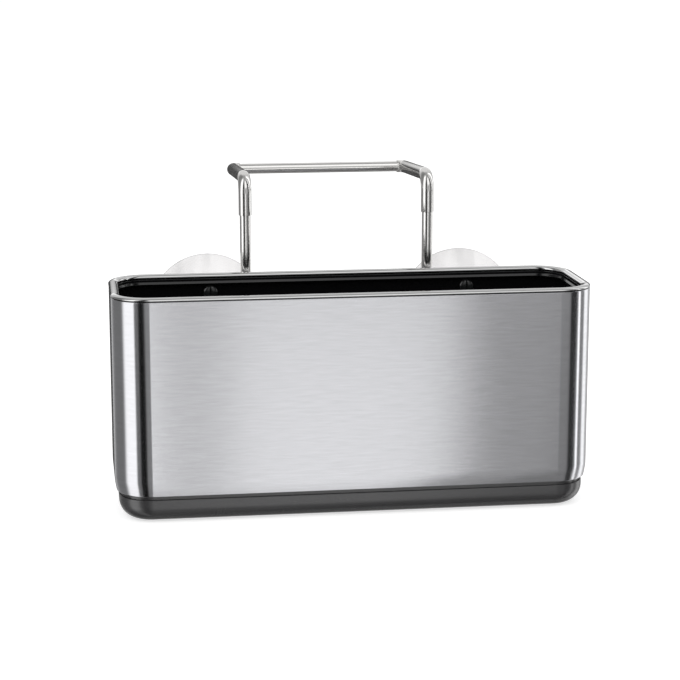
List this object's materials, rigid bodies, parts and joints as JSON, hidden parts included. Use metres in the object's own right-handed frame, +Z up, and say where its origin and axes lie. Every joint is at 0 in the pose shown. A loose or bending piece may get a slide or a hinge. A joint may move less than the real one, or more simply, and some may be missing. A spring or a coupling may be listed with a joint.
{
  "type": "sink caddy",
  "caption": "Slim steel-wrapped sink bin with black liner, sliding wire loop that goes round a faucet, and suction cups on the back.",
  "frame": {"origin": "middle of the base's flat underside", "axes": "+X to the caddy's right as seen from its front, +Y to its back, where the loop and cups are, +Z up"},
  "size_m": [0.243, 0.158, 0.166],
  "materials": {
    "brushed_band": "horizontally brushed",
    "polished_rim": "polished steel",
    "gloss_liner": "gloss black",
    "grey_base": "satin dark grey",
    "screw_steel": "plain",
    "bracket_plastic": "matte black",
    "rivet_plastic": "satin dark grey",
    "bush_plastic": "natural grey",
    "clear_vinyl": "clear soft vinyl",
    "polished_wire": "polished steel"
  },
  "bodies": {
    "caddy": {"outer_band": "brushed_band", "rim_trim": "polished_rim", "liner": "gloss_liner", "base_tray": "grey_base", "base_screw_front_left": "screw_steel", "base_screw_front_right": "screw_steel", "base_screw_back_left": "screw_steel", "base_screw_back_right": "screw_steel", "back_bracket_left": "bracket_plastic", "back_bracket_right": "bracket_plastic", "bracket_rivet_upper_left": "rivet_plastic", "bracket_rivet_upper_right": "rivet_plastic", "bracket_rivet_lower_left": "rivet_plastic", "bracket_rivet_lower_right": "rivet_plastic", "guide_bush_upper_left": "bush_plastic", "guide_bush_upper_right": "bush_plastic", "guide_bush_lower_left": "bush_plastic", "guide_bush_lower_right": "bush_plastic"},
    "wire_loop": {"guide_rod_left": "polished_wire", "guide_rod_right": "polished_wire", "elbow_tube_left": "polished_wire", "elbow_tube_right": "polished_wire", "faucet_crossbar": "polished_wire", "rod_stop_left": "bracket_plastic", "rod_stop_right": "bracket_plastic"},
    "cup_left": {"suction_cup_left": "clear_vinyl"},
    "cup_right": {"suction_cup_right": "clear_vinyl"}
  },
  "joints": [
    {"name": "loop_slide", "type": "slide", "parent": "caddy", "child": "wire_loop", "axis": [0, 0, 1], "range_m": [-0.034, 0]},
    {"name": "cup_left_turn", "type": "hinge", "parent": "caddy", "child": "cup_left", "pos_m": [-0.0681, 0.0573, 0.0903], "axis": [0, 1, 0], "continuous": true},
    {"name": "cup_right_turn", "type": "hinge", "parent": "caddy", "child": "cup_right", "pos_m": [0.0681, 0.0573, 0.0903], "axis": [0, 1, 0], "continuous": true}
  ]
}
